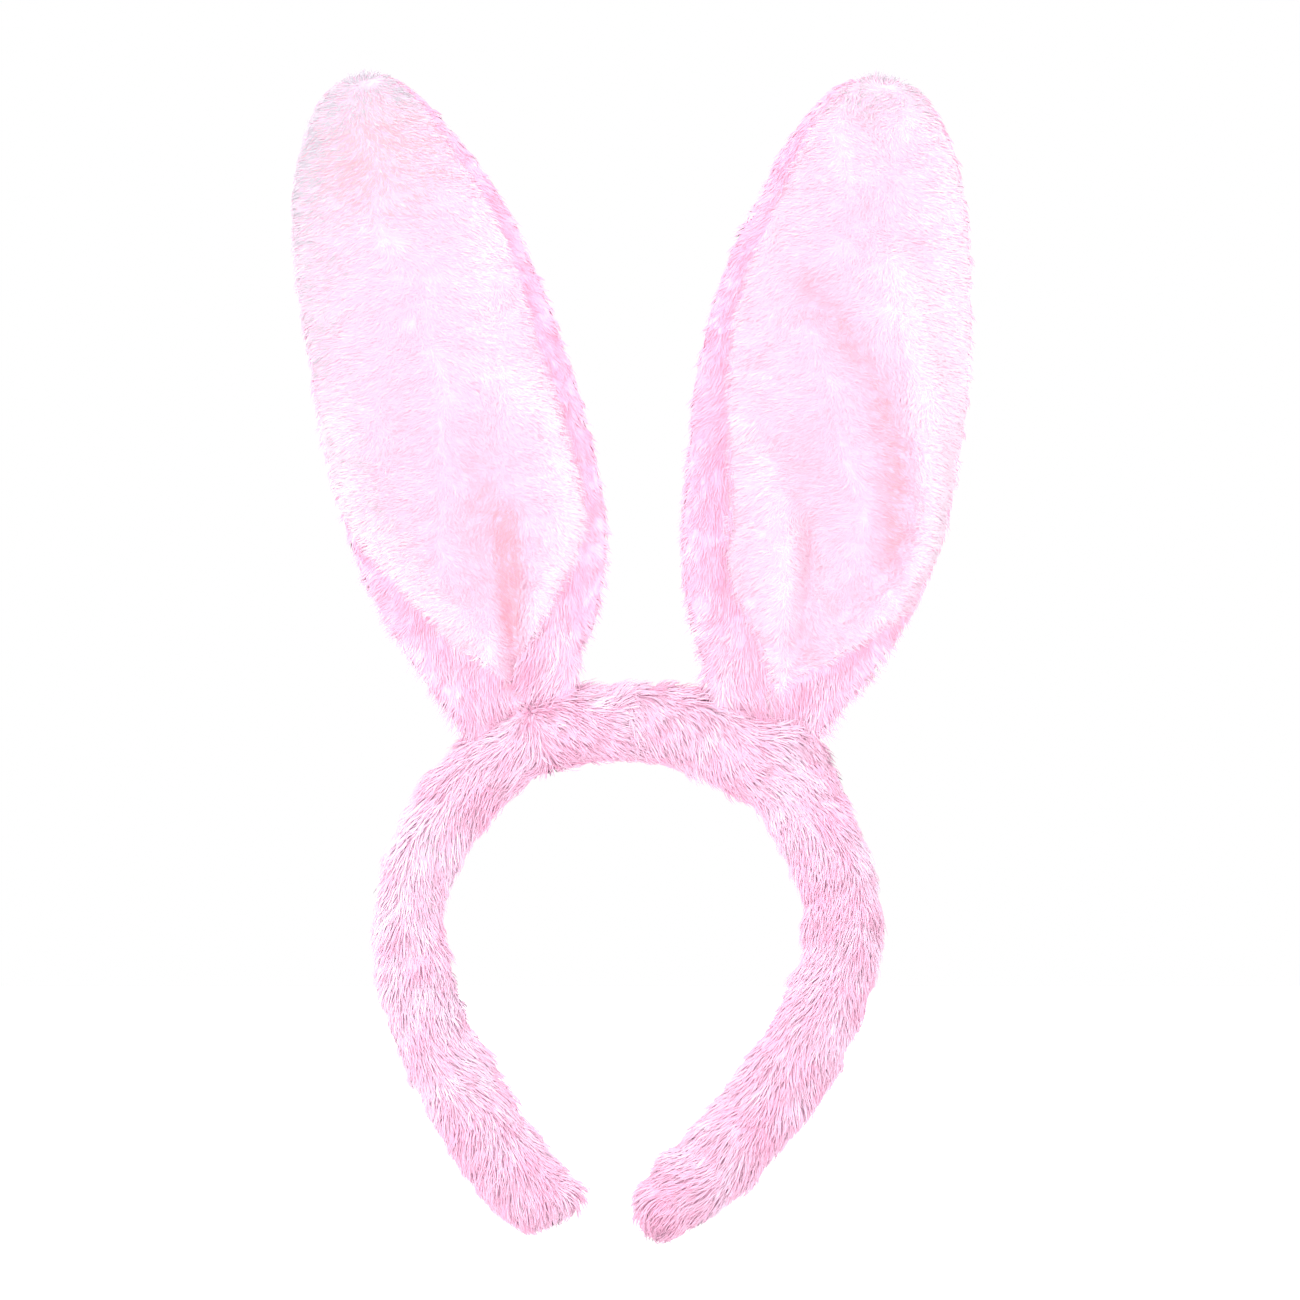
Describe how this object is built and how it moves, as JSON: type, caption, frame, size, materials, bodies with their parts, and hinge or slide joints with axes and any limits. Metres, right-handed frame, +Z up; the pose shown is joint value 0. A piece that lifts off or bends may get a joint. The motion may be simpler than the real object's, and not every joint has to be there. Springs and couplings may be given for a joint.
{
  "type": "rabbit ears headband",
  "caption": "Sprung headband in a padded plush sleeve, with upright wired plush rabbit ears that tilt at the base and fold across the middle.",
  "frame": {"origin": "the underside of the plush at the crown's top, where it sits on the head", "axes": "worn upright: +Z up, front faces -Y, +X to the right as seen from the front"},
  "size_m": [0.2193, 0.0256, 0.3736],
  "materials": {
    "pink_plush": "long plush pile",
    "white_plush": "short plush pile",
    "wadding": "loose fibre",
    "interlining": "needled felt",
    "thread": "twisted thread",
    "plastic_band": "moulded",
    "wire": "drawn wire"
  },
  "bodies": {
    "band": {"core_crown": "plastic_band", "wadding_crown": "wadding", "sleeve_crown": "pink_plush", "sleeve_seam_crown": "thread"},
    "left_arm": {"core_left_arm": "plastic_band", "wadding_left_arm": "wadding", "sleeve_left_arm": "pink_plush", "sleeve_seam_left_arm": "thread", "end_knot_left": "thread"},
    "right_arm": {"core_right_arm": "plastic_band", "wadding_right_arm": "wadding", "sleeve_right_arm": "pink_plush", "sleeve_seam_right_arm": "thread", "end_knot_right": "thread"},
    "left_ear": {"left_ear_back_lower": "pink_plush", "left_ear_front_lower": "white_plush", "left_ear_interlining_lower": "interlining", "left_ear_wire_lower": "wire", "left_ear_seam_lower": "thread", "left_ear_base_stitches": "thread", "left_ear_pinch_tack": "thread"},
    "left_ear_tip": {"left_ear_back_tip": "pink_plush", "left_ear_front_tip": "white_plush", "left_ear_interlining_tip": "interlining", "left_ear_wire_tip": "wire", "left_ear_seam_tip": "thread"},
    "right_ear": {"right_ear_back_lower": "pink_plush", "right_ear_front_lower": "white_plush", "right_ear_interlining_lower": "interlining", "right_ear_wire_lower": "wire", "right_ear_seam_lower": "thread", "right_ear_base_stitches": "thread", "right_ear_pinch_tack": "thread"},
    "right_ear_tip": {"right_ear_back_tip": "pink_plush", "right_ear_front_tip": "white_plush", "right_ear_interlining_tip": "interlining", "right_ear_wire_tip": "wire", "right_ear_seam_tip": "thread"}
  },
  "joints": [
    {"name": "left_arm_flex", "type": "hinge", "parent": "band", "child": "left_arm", "pos_m": [-0.05894, 0, -0.02017], "axis": [0, 1, 0], "range_deg": [0, 22], "stiffness_Nm_per_rad": 0.4},
    {"name": "right_arm_flex", "type": "hinge", "parent": "band", "child": "right_arm", "pos_m": [0.05894, 0, -0.02017], "axis": [0, -1, 0], "range_deg": [0, 22], "stiffness_Nm_per_rad": 0.4},
    {"name": "left_ear_tilt", "type": "hinge", "parent": "band", "child": "left_ear", "pos_m": [-0.02827, 0, 0.00649], "axis": [0.9135, 0, 0.4067], "range_deg": [-40, 40]},
    {"name": "left_ear_fold", "type": "hinge", "parent": "left_ear", "child": "left_ear_tip", "pos_m": [-0.05677, 0.0008, 0.11399], "axis": [0.9742, 0, 0.2257], "range_deg": [-30, 90]},
    {"name": "right_ear_tilt", "type": "hinge", "parent": "band", "child": "right_ear", "pos_m": [0.0358, 0, 0.00257], "axis": [0.8572, 0, -0.515], "range_deg": [-40, 40]},
    {"name": "right_ear_fold", "type": "hinge", "parent": "right_ear", "child": "right_ear_tip", "pos_m": [0.06605, 0.0008, 0.11532], "axis": [0.9917, 0, -0.1289], "range_deg": [-30, 90]}
  ]
}
